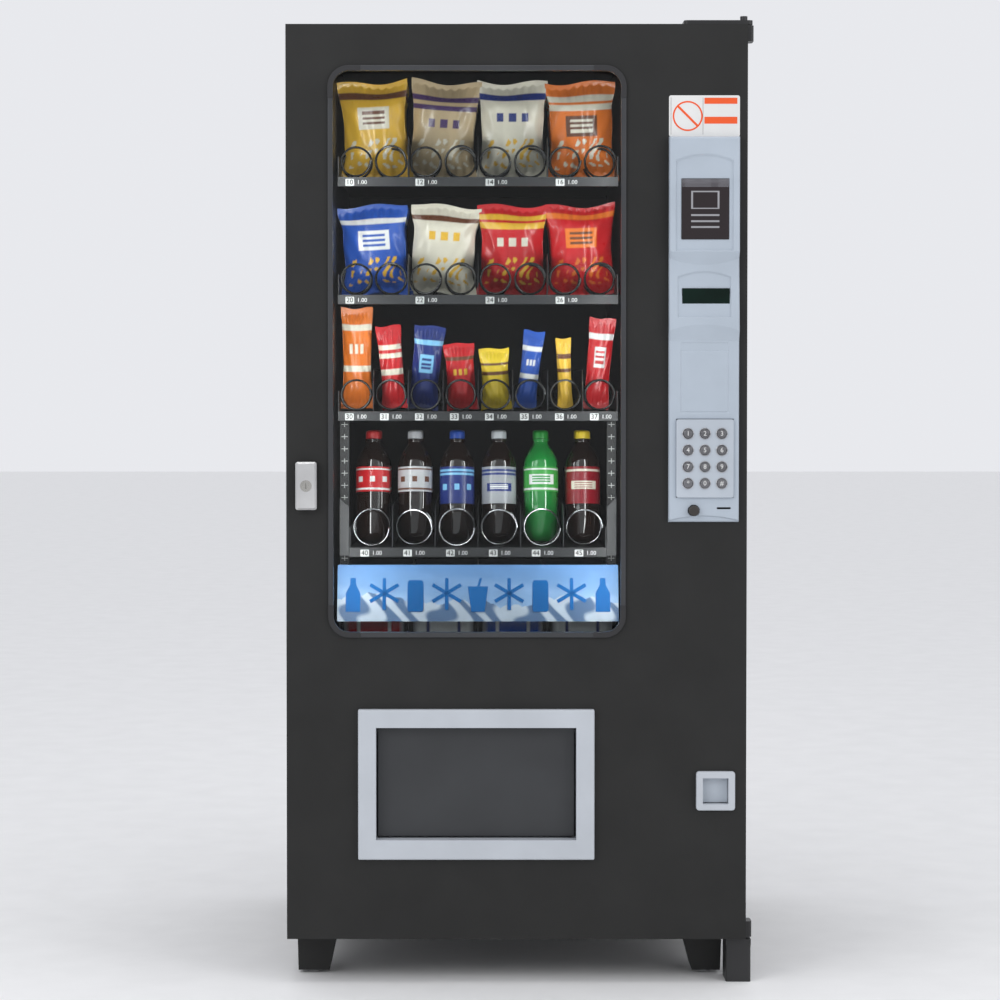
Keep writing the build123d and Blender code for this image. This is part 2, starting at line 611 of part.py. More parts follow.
def main():
    os.makedirs("parts", exist_ok=True)
    write("cabinet_shell", *cabinet_shell())
    write("back_panel", *back_panel())
    write("product_liner", *product_liner())
    write("product_deck", *product_deck())
    write("legs", *legs())
    write("levelling_feet", *levelling_feet())
    write("hinge_brackets", *hinge_brackets())
    write("lock_strike", *lock_strike())
    for row in range(len(TRAY_FLOORS)):
        write(f"tray_{row + 1}", *tray(row))
    write("tray_dividers", *tray_dividers())
    write("price_rails", *price_rails())
    write("vend_motors", *vend_motors())
    fixed_coils = []
    for row, n, x, z, left_hand in coil_places():
        made = coil(row, x, z, left_hand)
        if (row, n) in MOVING_COILS:
            write(MOVING_COILS[row, n], *made)
        else:
            fixed_coils += made
    write("spiral_coils", *fixed_coils)
    write("can_shelf", *can_shelf())
    write("sign_panel", *sign_panel())
    write("compressor", *compressor())
    write("condenser", *condenser())
    write("condenser_fan", *condenser_fan())
    write("evaporator", *evaporator())
    write("control_board", *control_board())
    write("pivot_blocks", *pivot_blocks())
    write("door_skin", *door_skin())
    write("door_liner", *door_liner())
    write("window_glass", *window_glass())
    write("window_trim", *window_trim())
    write("light_tube", *light_tube())
    write("control_housing", *control_housing())
    write("info_display", *info_display())
    write("lcd_display", *lcd_display())
    write("keypad_plate", *keypad_plate())
    for name, x, z in key_centres():
        write(f"key_{name}", *key(x, z))
    write("coin_return_button", *coin_return_button())
    write("coin_mechanism", *coin_mechanism())
    write("delivery_bezel", *delivery_bezel())
    write("delivery_flap", *delivery_flap())
    write("delivery_bin", *delivery_bin())
    write("coin_cup", *coin_cup())
    write("coin_flap", *coin_flap())
    write("handle_housing", *handle_housing())
    write("handle_sleeve", *handle_sleeve())
    write("t_handle", *t_handle())
    write("lock_cylinder", *lock_cylinder())


main()
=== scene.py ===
import json
import random
from math import atan2, cos, exp, hypot, pi, radians, sin

import bmesh
import bpy
from mathutils import Matrix, Vector

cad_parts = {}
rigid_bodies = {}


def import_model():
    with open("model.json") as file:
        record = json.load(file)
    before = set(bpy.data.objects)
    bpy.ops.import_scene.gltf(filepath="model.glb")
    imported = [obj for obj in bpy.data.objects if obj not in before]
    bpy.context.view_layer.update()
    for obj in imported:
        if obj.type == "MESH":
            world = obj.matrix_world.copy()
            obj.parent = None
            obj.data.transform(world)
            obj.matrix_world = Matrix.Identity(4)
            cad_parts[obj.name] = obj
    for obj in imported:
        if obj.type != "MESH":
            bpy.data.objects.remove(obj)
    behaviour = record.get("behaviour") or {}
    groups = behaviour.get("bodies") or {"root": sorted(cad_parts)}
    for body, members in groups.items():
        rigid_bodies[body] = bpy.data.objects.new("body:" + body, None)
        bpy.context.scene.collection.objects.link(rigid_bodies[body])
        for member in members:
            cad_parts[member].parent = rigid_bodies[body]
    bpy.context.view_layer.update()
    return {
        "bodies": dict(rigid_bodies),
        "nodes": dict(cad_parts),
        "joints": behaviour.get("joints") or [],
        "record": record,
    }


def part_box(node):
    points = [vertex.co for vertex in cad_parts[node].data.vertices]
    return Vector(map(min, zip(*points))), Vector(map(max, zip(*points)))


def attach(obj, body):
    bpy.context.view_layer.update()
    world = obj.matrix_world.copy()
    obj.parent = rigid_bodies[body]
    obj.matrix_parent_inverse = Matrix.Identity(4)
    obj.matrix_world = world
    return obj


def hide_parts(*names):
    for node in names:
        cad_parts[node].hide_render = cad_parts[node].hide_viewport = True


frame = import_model()
NODES = frame["nodes"]


# ---- materials ----

def material(name, color, rough=0.5, metal=0.0, grain=400.0, bump=0.1, vary=0.15, wear=0.0, coat=0.0,
             sheen=0.5):
    """A surface with cloudy colour variation, fine grain in the bump, uneven gloss and worn edges."""
    mat = bpy.data.materials.new(name)
    mat.use_nodes = True
    nodes, links = mat.node_tree.nodes, mat.node_tree.links
    shader = nodes["Principled BSDF"]
    shader.inputs["Metallic"].default_value = metal
    shader.inputs["Coat Weight"].default_value = coat
    shader.inputs["Specular IOR Level"].default_value = sheen
    where = nodes.new("ShaderNodeTexCoord").outputs["Object"]

    def noise(scale, detail=4.0):
        node = nodes.new("ShaderNodeTexNoise")
        node.inputs["Scale"].default_value = scale
        node.inputs["Detail"].default_value = detail
        links.new(where, node.inputs["Vector"])
        return node.outputs["Fac"]

    def ramp(source, low, high, low_out, high_out):
        node = nodes.new("ShaderNodeMapRange")
        node.inputs["From Min"].default_value = low
        node.inputs["From Max"].default_value = high
        node.inputs["To Min"].default_value = low_out
        node.inputs["To Max"].default_value = high_out
        links.new(source, node.inputs["Value"])
        return node.outputs["Result"]

    def mixed(factor, first, second):
        node = nodes.new("ShaderNodeMix")
        node.data_type = "RGBA"
        for socket, value in ((node.inputs[6], first), (node.inputs[7], second)):
            if isinstance(value, tuple):
                socket.default_value = value
            else:
                links.new(value, socket)
        links.new(factor, node.inputs[0])
        return node.outputs[2]

    if color == "painted":
        source = nodes.new("ShaderNodeVertexColor")
        source.layer_name = "Paint"
        base = source.outputs["Color"]
        dark = mixed(ramp(noise(grain / 12), 0.35, 0.65, 0.0, vary), base, (0.02, 0.02, 0.02, 1))
    else:
        light = tuple(min(1.0, c * (1 + vary)) for c in color) + (1,)
        shade = tuple(c * (1 - vary) for c in color) + (1,)
        dark = mixed(ramp(noise(9.0), 0.3, 0.7, 0.0, 1.0), shade, light)
    if wear:
        geometry = nodes.new("ShaderNodeNewGeometry")
        edge = ramp(geometry.outputs["Pointiness"], 0.52, 0.6, 0.0, wear)
        dark = mixed(edge, dark, (0.4, 0.4, 0.41, 1))
    links.new(dark, shader.inputs["Base Color"])
    fine = noise(grain, 6.0)
    links.new(ramp(fine, 0.3, 0.7, rough * 0.85, min(1.0, rough * 1.15)), shader.inputs["Roughness"])
    bumps = nodes.new("ShaderNodeBump")
    bumps.inputs["Strength"].default_value = bump
    bumps.inputs["Distance"].default_value = 0.001
    links.new(fine, bumps.inputs["Height"])
    links.new(bumps.outputs["Normal"], shader.inputs["Normal"])
    return mat


def glass_material(name, tint, gloss=0.04):
    """Thin clear sheet: light goes straight through, with a mirror share that grows at the edges."""
    mat = bpy.data.materials.new(name)
    mat.use_nodes = True
    nodes, links = mat.node_tree.nodes, mat.node_tree.links
    nodes.remove(nodes["Principled BSDF"])
    clear = nodes.new("ShaderNodeBsdfTransparent")
    clear.inputs["Color"].default_value = tint
    mirror = nodes.new("ShaderNodeBsdfGlossy")
    mirror.inputs["Roughness"].default_value = gloss
    fresnel = nodes.new("ShaderNodeFresnel")
    fresnel.inputs["IOR"].default_value = 1.25
    mix = nodes.new("ShaderNodeMixShader")
    links.new(fresnel.outputs[0], mix.inputs[0])
    links.new(clear.outputs[0], mix.inputs[1])
    links.new(mirror.outputs[0], mix.inputs[2])
    links.new(mix.outputs[0], nodes["Material Output"].inputs["Surface"])
    return mat


def glowing(name, color, strength):
    mat = material(name, color, 0.4)
    shader = mat.node_tree.nodes["Principled BSDF"]
    shader.inputs["Emission Color"].default_value = (*color, 1)
    shader.inputs["Emission Strength"].default_value = strength
    return mat


POWDER = material("powder_coat", (0.013, 0.013, 0.0125), 0.52, 0.0, 900, 0.35, 0.15, sheen=0.32)
INNER = material("inner_black", (0.009, 0.009, 0.01), 0.55, 0.0, 500, 0.08, 0.2)
ZINC = material("zinc", (0.55, 0.55, 0.56), 0.32, 1.0, 300, 0.08, 0.2)
BRACKET = material("bracket", (0.016, 0.016, 0.017), 0.42, 0.1, 600, 0.15, 0.2)
DIVIDER = material("divider", (0.07, 0.07, 0.075), 0.35, 0.6, 300, 0.08, 0.25)
RAIL = material("rail", (0.028, 0.028, 0.03), 0.45, 0.0, 500, 0.1)
def two_wires():
    """Black wire on the snack trays, bright wire on the bottle tray below them."""
    mat = material("coil_wires", (0.012, 0.012, 0.012), 0.22, 0.0, 300, 0.03, 0.3)
    nodes, links = mat.node_tree.nodes, mat.node_tree.links
    shader = nodes["Principled BSDF"]
    split = nodes.new("ShaderNodeSeparateXYZ")
    below = nodes.new("ShaderNodeMath")
    below.operation = "LESS_THAN"
    below.inputs[1].default_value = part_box("tray_3")[0][2] - 0.05
    links.new(nodes["Texture Coordinate"].outputs["Object"], split.inputs[0])
    links.new(split.outputs["Z"], below.inputs[0])
    blend = nodes.new("ShaderNodeMix")
    blend.data_type = "RGBA"
    links.new(below.outputs[0], blend.inputs[0])
    links.new(shader.inputs["Base Color"].links[0].from_socket, blend.inputs[6])
    blend.inputs[7].default_value = (0.6, 0.6, 0.62, 1)
    links.new(blend.outputs[2], shader.inputs["Base Color"])
    links.new(below.outputs[0], shader.inputs["Metallic"])
    return mat


WIRES = two_wires()
# Own pale colour of the vend motors and deck; the same material also paints the light seen through the tray-post slots.
PALE_PLASTIC_AND_SLOT_LIGHT = material("pale_plastic_and_slot_light", (0.45, 0.45, 0.43), 0.5, 0.0, 500, 0.1)
BLACK_WIRE = material("black_wire", (0.012, 0.012, 0.012), 0.2, 0.0, 300, 0.03, 0.3, 0.1, 0.5)
BRIGHT_WIRE = material("bright_wire", (0.6, 0.6, 0.62), 0.22, 1.0, 300, 0.05, 0.2)
ALUMINIUM = material("aluminium", (0.6, 0.61, 0.63), 0.35, 1.0, 500, 0.2, 0.2)
LINER = material("door_inner_sheet", (0.16, 0.165, 0.17), 0.45, 0.0, 500, 0.1)
TRIM = material("trim", (0.03, 0.032, 0.036), 0.42, 0.0, 700, 0.12, 0.12)
CORNER = material("trim_corner", (0.014, 0.014, 0.016), 0.5, 0.0, 900, 0.2, 0.15)
HOUSING = material("housing_plastic", (0.4, 0.455, 0.52), 0.42, 0.0, 1100, 0.12, 0.05)
KEYPLATE = material("key_plate", (0.43, 0.475, 0.53), 0.38, 0.0, 1200, 0.1, 0.06)
CHROME = material("chrome", (0.6, 0.6, 0.62), 0.16, 1.0, 200, 0.03, 0.1)
KEY_STEEL = material("key_steel", (0.2, 0.2, 0.21), 0.22, 1.0, 300, 0.05, 0.25)
KNOB = material("knob", (0.03, 0.026, 0.023), 0.3, 0.0, 600, 0.1)
LCD = material("lcd", (0.002, 0.012, 0.008), 0.2, 0.0, 900, 0.02, 0.4, sheen=0.15)
BEZEL = material("bezel_plastic", (0.47, 0.5, 0.54), 0.45, 0.0, 1100, 0.15, 0.05)
FLAP = material("flap", (0.026, 0.028, 0.031), 0.5, 0.0, 1000, 0.25, 0.12)
CAST = material("cast_zinc", (0.62, 0.62, 0.62), 0.34, 0.85, 260, 0.2, 0.12)
BRASSY = material("cylinder", (0.5, 0.49, 0.46), 0.25, 1.0, 300, 0.08, 0.15)
WHITE = material("white_print", (0.7, 0.7, 0.69), 0.6, 0.0, 600, 0.03, 0.04, sheen=0.2)
INK = material("black_ink", (0.01, 0.01, 0.01), 0.8, 0.0, 600, 0.02, 0.2, sheen=0.0)
ORANGE = material("orange_print", (0.8, 0.09, 0.01), 0.4, 0.0, 600, 0.03, 0.06)
LINE_GREY = material("grey_print", (0.12, 0.12, 0.12), 0.5, 0.0, 600, 0.03)
BLUE = material("sign_blue", (0.01, 0.12, 0.36), 0.5, 0.0, 500, 0.03, 0.15, sheen=0.1)
PRINT = material("printed_film", "painted", 0.3, 0.0, 260, 0.08, 0.12, 0.0, 0.15)
CARD = material("printed_card", "painted", 0.4, 0.0, 400, 0.02, 0.1, sheen=0.15)
CAPS = material("bottle_cap", "painted", 0.4, 0.0, 700, 0.08, 0.06)
GLASS = glass_material("window_pane", (0.93, 0.95, 0.95, 1))
LAMP = glowing("lamp", (0.95, 0.97, 1.0), 3.0)

FINISH = {
    POWDER: ("cabinet_shell", "back_panel", "legs", "door_skin"),
    INNER: ("product_liner", "tray_1", "tray_2", "tray_3", "tray_4", "coin_mechanism", "delivery_bin",
            "compressor", "condenser_fan"),
    ZINC: ("levelling_feet", "lock_strike", "handle_housing", "handle_sleeve"),
    BRACKET: ("hinge_brackets", "pivot_blocks"),
    DIVIDER: ("tray_dividers", "can_shelf"),
    RAIL: ("price_rails", "control_board"),
    PALE_PLASTIC_AND_SLOT_LIGHT: ("vend_motors", "product_deck"),
    WIRES: ("spiral_coils",),
    BLACK_WIRE: ("coil_10_left", "coil_10_right", "coil_30"),
    BRIGHT_WIRE: ("coil_40",),
    ALUMINIUM: ("condenser", "evaporator"),
    LINER: ("door_liner",),
    TRIM: ("window_trim",),
    GLASS: ("window_glass",),
    LAMP: ("light_tube",),
    HOUSING: ("control_housing",),
    KEYPLATE: ("keypad_plate", "coin_flap"),
    KNOB: ("coin_return_button",),
    LCD: ("lcd_display", "info_display"),
    BEZEL: ("delivery_bezel", "coin_cup"),
    FLAP: ("delivery_flap",),
    CAST: ("t_handle",),
    BRASSY: ("lock_cylinder",),
    BLUE: ("sign_panel",),
}
for finish, names in FINISH.items():
    for name in names:
        NODES[name].data.materials.clear()
        NODES[name].data.materials.append(finish)
for name, node in NODES.items():
    if name.startswith("key_"):
        node.data.materials.clear()
        node.data.materials.append(KEY_STEEL)


# ---- mesh helpers ----

def add(name, vertices, faces, mats, body, smooth=True, colours=None, face_mats=None):
    """A mesh piece that rides on a body, with optional vertex paint and a material for each face."""
    mesh = bpy.data.meshes.new(name)
    mesh.from_pydata(vertices, [], faces)
    for mat in mats:
        mesh.materials.append(mat)
    if colours:
        layer = mesh.color_attributes.new("Paint", "FLOAT_COLOR", "POINT")
        for index, colour in enumerate(colours):
            layer.data[index].color = (*colour, 1)
    for index, polygon in enumerate(mesh.polygons):
        polygon.use_smooth = smooth
        if face_mats:
            polygon.material_index = face_mats[index]
    build = bmesh.new()
    build.from_mesh(mesh)
    bmesh.ops.recalc_face_normals(build, faces=build.faces)
    build.to_mesh(mesh)
    build.free()
    piece = bpy.data.objects.new(name, mesh)
    bpy.context.scene.collection.objects.link(piece)
    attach(piece, body)
    return piece


def sheet_grid(columns, rows, point):
    """Vertices and faces of a grid, from a function of u and v in 0 to 1."""
    points = [point(i / columns, j / rows) for j in range(rows + 1) for i in range(columns + 1)]
    step = columns + 1
    faces = [(j * step + i, j * step + i + 1, (j + 1) * step + i + 1, (j + 1) * step + i)
             for j in range(rows) for i in range(columns)]
    return points, faces


def extruded(name, outline, y_front, y_back, mat, body, bevel=0.0):
    """A flat shape seen from the front, given as (x, z) points, with its edges softened."""
    n = len(outline)
    vertices = [(x, y_front, z) for x, z in outline] + [(x, y_back, z) for x, z in outline]
    faces = [tuple(range(n)), tuple(range(2 * n - 1, n - 1, -1))]
    faces += [(i, (i + 1) % n, n + (i + 1) % n, n + i) for i in range(n)]
    piece = add(name, vertices, faces, [mat], body, smooth=False)
    if bevel:
        soft = piece.modifiers.new("soft_edges", "BEVEL")
        soft.width, soft.segments, soft.limit_method = bevel, 2, "ANGLE"
    return piece


def round_rect(x0, z0, x1, z1, radius, steps=6):
    corners = ((x1 - radius, z1 - radius, 0), (x0 + radius, z1 - radius, 90),
               (x0 + radius, z0 + radius, 180), (x1 - radius, z0 + radius, 270))
    return [(cx + radius * cos(radians(a + 90 * k / steps)), cz + radius * sin(radians(a + 90 * k / steps)))
            for cx, cz, a in corners for k in range(steps + 1)]


def numerals(name, text, size, x, y, z, mat, body, depth=0.0003):
    """Raised figures, read from the front, made into a mesh."""
    curve = bpy.data.curves.new(name, "FONT")
    curve.body, curve.size, curve.extrude = text, size, depth
    curve.align_x, curve.align_y = "CENTER", "CENTER"
    curve.resolution_u = 3
    holder = bpy.data.objects.new(name + "_curve", curve)
    mesh = bpy.data.meshes.new_from_object(holder)
    bpy.data.objects.remove(holder)
    mesh.transform(Matrix.Translation((x, y, z)) @ Matrix.Rotation(radians(90), 4, "X"))
    mesh.name = name
    mesh.materials.append(mat)
    piece = bpy.data.objects.new(name, mesh)
    bpy.context.scene.collection.objects.link(piece)
    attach(piece, body)
    return piece


def smooth_step(low, high, value):
    t = max(0.0, min(1.0, (value - low) / (high - low)))
    return t * t * (3 - 2 * t)


def painted(shapes, base, u, v):
    """The colour at u, v in -1 to 1 of a design: a list of (kind, place, colour), last on top."""
    colour = base
    for kind, place, paint in shapes:
        cu, cv, ru, rv = place
        du, dv = (u - cu) / ru, (v - cv) / rv
        inside = {
            "rect": abs(du) < 1 and abs(dv) < 1,
            "dots": (abs(du) < 1 and abs(dv) < 1
                     and sin(u * 17 + 3 * sin(v * 9)) * sin(v * 13 + 2 * sin(u * 7)) > 0.35),
        }[kind]
        if inside:
            colour = paint
    return colour


# ---- stock ----

def pouch(name, x, y, z, width, height, depth, base, shapes, tilt=0.0, lean=6.0, seed=0):
    """A filled film pouch: puffed in the middle, flat and crimped at both ends, creased by its seals."""
    rng = random.Random(seed)
    waves = [(rng.uniform(3, 9), rng.uniform(0, 6), rng.uniform(0.6, 1.4)) for _ in range(6)]
    turn = Matrix.Rotation(radians(tilt), 4, "Y") @ Matrix.Rotation(radians(lean), 4, "X")
    place = Matrix.Translation((x, y, z + height / 2)) @ turn
    columns, rows = max(14, int(width * 420)), int(height * 420)

    def surface(side):
        def point(u, v):
            a, b = 2 * u - 1, 2 * v - 1
            end = smooth_step(0.0, 0.5, 0.93 - abs(b))
            puff = (1 - abs(a) ** 2.6) ** 0.7 * end ** 0.7
            crease = sum(sin(f * a * 2 + p + b * w) for f, p, w in waves) / 6
            radial = sin(a * 26 + seed) * exp(-((abs(b) - 0.8) / 0.14) ** 2)
            crimp = 0.0006 * sin(b * height * 2600) if abs(b) > 0.93 else 0.0
            bulge = depth / 2 * puff * (1 + 0.1 * crease) + 0.0022 * radial * (1 - a * a)
            pull = 1 - 0.13 * end * (1 - 0.25 * b) - 0.03 * b * (b < 0) + 0.012 * sin(b * 7 + seed) * end
            lift = width * (0.03 * sin(a * 3.4 + seed) * smooth_step(0.5, 1.0, abs(b)) + 0.02 * a * a * b)
            fold = 0.0016 * sin(a * 11 + b * 9 * (-1) ** seed) * end * abs(a)
            return place @ Vector((a * width / 2 * pull, side * max(bulge + fold, 0.0004) + crimp,
                                   b * height / 2 + lift))
        return point

    front, faces = sheet_grid(columns, rows, surface(-1))
    back, _ = sheet_grid(columns, rows, surface(1))
    offset = len(front)
    faces = faces + [tuple(i + offset for i in reversed(face)) for face in faces]
    front_paint = [painted(shapes, base, 2 * (i % (columns + 1)) / columns - 1,
                           2 * (i // (columns + 1)) / rows - 1) for i in range(offset)]
    piece = add(name, front + back, faces, [PRINT], "cabinet", colours=front_paint + [base] * offset)
    build = bmesh.new()
    build.from_mesh(piece.data)
    bmesh.ops.remove_doubles(build, verts=build.verts, dist=0.0009)
    build.to_mesh(piece.data)
    build.free()
    return piece


RED, GOLD, CREAM = (0.62, 0.01, 0.015), (0.86, 0.5, 0.04), (0.82, 0.76, 0.62)
YELLOW, NAVY, PURPLE = (0.92, 0.66, 0.03), (0.012, 0.03, 0.2), (0.07, 0.03, 0.13)
BLUE_P, SKY, GREEN = (0.02, 0.1, 0.5), (0.25, 0.6, 0.9), (0.03, 0.35, 0.05)
ORANGE_P, TAN, BROWN = (0.85, 0.2, 0.02), (0.6, 0.45, 0.26), (0.15, 0.05, 0.02)
PALE, BLACK = (0.88, 0.88, 0.86), (0.012, 0.01, 0.01)


def bands(colour, *heights, half=0.06):
    """Plain bands right round a pack."""
    return tuple(("rect", (0, height, 2, half), colour) for height in heights)


def panel(ground, figure, height, half_width=0.5, half_height=0.22):
    """A plain square-cornered panel that holds three even bars."""
    bars = tuple(("rect", (0, height + step * half_height, half_width * 0.7, half_height * 0.13), figure)
                 for step in (-0.5, 0.0, 0.5))
    return (("rect", (0, height, half_width, half_height), ground), *bars)


def squares(colour, height, half_width=0.11, half_height=0.09):
    """A row of three plain squares."""
    return tuple(("rect", (place, height, half_width, half_height), colour) for place in (-0.4, 0.0, 0.4))


def crumbs(colour):
    """Loose pieces printed on the lower half of a bag."""
    return (("dots", (0, -0.45, 0.8, 0.3), colour),)


AMBER, CHERRY, SILVER = (0.9, 0.55, 0.05), (0.28, 0.005, 0.015), (0.42, 0.43, 0.46)

BAGS_TOP = (
    (GOLD, bands(BROWN, 0.72) + panel(CREAM, BROWN, 0.28) + crumbs(CREAM)),
    (TAN, bands(PURPLE, 0.66, 0.48) + squares(PURPLE, 0.16) + crumbs(CREAM)),
    (CREAM, bands(NAVY, 0.7) + squares(NAVY, 0.3) + crumbs(GOLD)),
    (ORANGE_P, bands(CREAM, 0.68, 0.5) + panel(BROWN, CREAM, 0.12) + crumbs(CREAM)),
)
BAGS_SECOND = (
    (BLUE_P, bands(PALE, 0.66) + panel(PALE, BLUE_P, 0.24) + crumbs(GOLD)),
    (CREAM, bands(BROWN, 0.72) + squares(GOLD, 0.34) + crumbs(GOLD)),
    (RED, bands(GOLD, 0.74, 0.56) + squares(CREAM, 0.2) + crumbs(GOLD)),
    (RED, bands(ORANGE_P, 0.76) + panel(ORANGE_P, BROWN, 0.3) + crumbs(ORANGE_P)),
)
# width, height and depth in metres, tilt in degrees, base colour, design
BARS = (
    (0.062, 0.2, 0.03, 0, ORANGE_P, bands(CREAM, 0.62, -0.2) + squares(CREAM, 0.2)),
    (0.05, 0.165, 0.02, -5, RED, bands(CREAM, 0.5, 0.3, -0.1)),
    (0.062, 0.165, 0.03, 6, NAVY, bands(SKY, 0.6) + panel(SKY, NAVY, 0.1)),
    (0.062, 0.13, 0.03, -4, RED, bands(BROWN, 0.55) + squares(GOLD, 0.15)),
    (0.06, 0.12, 0.03, -3, YELLOW, bands(BROWN, 0.5, 0.2)),
    (0.042, 0.155, 0.02, 7, BLUE_P, bands(PALE, 0.55, -0.15) + squares(PALE, 0.2)),
    (0.03, 0.14, 0.016, -2, AMBER, bands(BROWN, 0.5, 0.1)),
    (0.052, 0.18, 0.02, 5, RED, bands(PALE, 0.6) + panel(PALE, RED, 0.15)),
)


def tray_facts(number):
    low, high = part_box(f"tray_{number}")
    return low[0], high[0], low[1], low[2] + 0.002


for number, bags in ((1, BAGS_TOP), (2, BAGS_SECOND)):
    x0, x1, front_y, floor = tray_facts(number)
    pitch = (x1 - x0) / len(bags)
    for n, (base, shapes) in enumerate(bags):
        for depth_place in range(3):
            pouch(f"snack_bag_{number}{n}_{depth_place}", x0 + pitch * (n + 0.5), front_y + 0.098 + 0.0616 * depth_place,
                  floor + 0.004, 0.14, 0.19 - 0.014 * (number == 2), 0.05, base, shapes,
                  (-3, 4, 0, -2)[n], 7, seed=number * 10 + n + depth_place * 50)
x0, x1, front_y, floor = tray_facts(3)
pitch = (x1 - x0) / len(BARS)
for n, (width, height, depth, tilt, base, shapes) in enumerate(BARS):
    for depth_place in range(2):
        pouch(f"snack_bar_{n}_{depth_place}", x0 + pitch * (n + 0.5), front_y + 0.059 + 0.0352 * depth_place,
              floor + 0.004, width, height, depth, base, shapes, tilt, 5, seed=200 + n)


def lathe(profile, segments, colour_at=None):
    """Vertices, faces and colours of a turned shape, from (radius, height) points."""
    points = [(r * cos(2 * pi * k / segments), r * sin(2 * pi * k / segments), h)
              for r, h in profile for k in range(segments)]
    faces = [(j * segments + k, j * segments + (k + 1) % segments, (j + 1) * segments + (k + 1) % segments,
              (j + 1) * segments + k) for j in range(len(profile) - 1) for k in range(segments)]
    return points, faces, [colour_at(h, 2 * pi * k / segments) for _, h in profile for k in range(segments)] if colour_at else None


def placed(points, matrix):
    return [matrix @ Vector(p) for p in points]


def liquid_material(name, colour, through):
    mat = bpy.data.materials.new(name)
    mat.use_nodes = True
    shader = mat.node_tree.nodes["Principled BSDF"]
    shader.inputs["Roughness"].default_value = 0.06
    shader.inputs["Coat Weight"].default_value = 0.7
    shader.inputs["Transmission Weight"].default_value = through
    noise = mat.node_tree.nodes.new("ShaderNodeTexNoise")
    noise.inputs["Scale"].default_value = 60
    ramp = mat.node_tree.nodes.new("ShaderNodeValToRGB")
    ramp.color_ramp.elements[0].color = (*[c * 0.8 for c in colour], 1)
    ramp.color_ramp.elements[1].color = (*[c * 1.2 for c in colour], 1)
    mat.node_tree.links.new(noise.outputs["Fac"], ramp.inputs["Fac"])
    mat.node_tree.links.new(ramp.outputs["Color"], shader.inputs["Base Color"])
    return mat


COLA = liquid_material("dark_drink", (0.012, 0.005, 0.003), 0.0)
LIME = liquid_material("green_drink", (0.02, 0.35, 0.06), 0.25)
BOTTLE = [(0.0, 0.004), (0.012, 0.003), (0.019, 0.0), (0.026, 0.003), (0.0315, 0.012), (0.0338, 0.024), (0.0342, 0.045),
          (0.0342, 0.066), (0.0331, 0.07), (0.0336, 0.075), (0.0336, 0.15), (0.0342, 0.156), (0.0328, 0.165),
          (0.029, 0.175), (0.023, 0.185), (0.017, 0.193), (0.0138, 0.199), (0.0135, 0.204), (0.0168, 0.2045),
          (0.0168, 0.2075), (0.0128, 0.208), (0.0128, 0.213)]
SHORT_LABEL, LONG_LABEL = (0.1, 0.15), (0.076, 0.15)
BOTTLES = (
    (COLA, RED, SHORT_LABEL, bands(PALE, 0.78, -0.78) + squares(PALE, 0.0, 0.08, 0.22), (0.5, 0.02, 0.02)),
    (COLA, (0.6, 0.6, 0.62), SHORT_LABEL, bands(BROWN, 0.78, -0.78) + squares(BROWN, 0.0, 0.08, 0.22),
     (0.5, 0.5, 0.52)),
    (COLA, NAVY, LONG_LABEL, bands(SKY, 0.8, 0.62) + squares(SKY, -0.1, 0.08, 0.15), (0.01, 0.07, 0.4)),
    (COLA, SILVER, LONG_LABEL, bands(NAVY, 0.8, 0.62) + panel(NAVY, PALE, -0.1, 0.4), (0.6, 0.62, 0.64)),
    (LIME, (0.05, 0.4, 0.06), SHORT_LABEL, bands(PALE, 0.78, -0.78) + panel(PALE, GREEN, 0.0, 0.4, 0.4),
     (0.01, 0.28, 0.03)),
    (COLA, CHERRY, LONG_LABEL, bands(CREAM, 0.8) + panel(CREAM, CHERRY, 0.0, 0.4), YELLOW),
)


def bottle(name, matrix, drink, label, span, shapes, cap):
    """Half-litre bottle: blown body, printed sleeve, and a ribbed cap."""
    points, faces, _ = lathe(BOTTLE, 60)
    points = [(px * (1 - 0.1 * petal), py * (1 - 0.1 * petal), pz) for px, py, pz in points
              for petal in [max(0.0, 1 - pz / 0.03) * max(0.0, cos(5 * atan2(py, px)))]]
    add(name, placed(points, matrix), faces, [drink], "cabinet").modifiers.new("round", "SUBSURF").levels = 1

    def label_paint(height, angle):
        u = ((angle + pi / 2 + pi) % (2 * pi) - pi) / pi * 1.6
        return painted(shapes, label, u, 2 * (height - span[0]) / (span[1] - span[0]) - 1)

    sleeve = [(0.0344, span[0] + (span[1] - span[0]) * k / 50) for k in range(51)]
    points, faces, colours = lathe(sleeve, 200, label_paint)
    add(name + "_label", placed(points, matrix), faces, [PRINT], "cabinet", colours=colours)
    rim = [(0.0, 0.2235), (0.0125, 0.2235), (0.0142, 0.222), (0.0146, 0.2195), (0.0146, 0.2095), (0.0142, 0.208)]
    points, faces, _ = lathe(rim, 72)
    ribbed = [(px * (1 + 0.03 * (k % 2)), py * (1 + 0.03 * (k % 2)), pz) for k, (px, py, pz) in enumerate(points)]
    add(name + "_cap", placed(ribbed, matrix), faces, [CAPS], "cabinet", colours=[cap] * len(points))


x0, x1, front_y, floor = tray_facts(4)
pitch = (x1 - x0) / len(BOTTLES)
for n, (drink, label, span, shapes, cap) in enumerate(BOTTLES):
    for depth_place in range(2):
        stand = Matrix.Translation((x0 + pitch * (n + 0.5), front_y + 0.1 + 0.0704 * depth_place, floor + 0.004))
        bottle(f"bottle_{n}_{depth_place}", stand @ Matrix.Rotation(radians(-7), 4, "X"), drink, label, span, shapes, cap)

